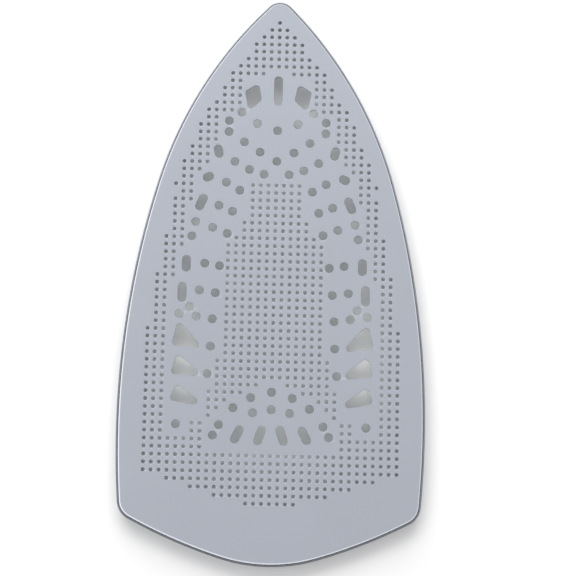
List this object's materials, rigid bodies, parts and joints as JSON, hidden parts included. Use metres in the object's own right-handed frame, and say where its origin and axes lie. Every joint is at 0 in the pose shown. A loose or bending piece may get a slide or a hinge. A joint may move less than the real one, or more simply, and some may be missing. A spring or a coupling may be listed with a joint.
{
  "type": "iron shoe cover",
  "caption": "Slip-over metal shoe for a clothes iron: a shallow pressed tray in the soleplate's shape, its face pierced by fine perforations and larger steam vents.",
  "frame": {"origin": "middle of the length and of the width, at the rim's free edge, on which the shoe lies", "axes": "+Z out of the ironing face, +Y along the length towards the pointed tip, +X to the right seen from above with the tip away from the viewer"},
  "size_m": [0.1334, 0.251, 0.009],
  "materials": {
    "shoe_sheet": "satin nonstick coating on the ironing face, satin metal at the rim"
  },
  "bodies": {
    "root": {"iron_shoe": "shoe_sheet"}
  },
  "joints": []
}
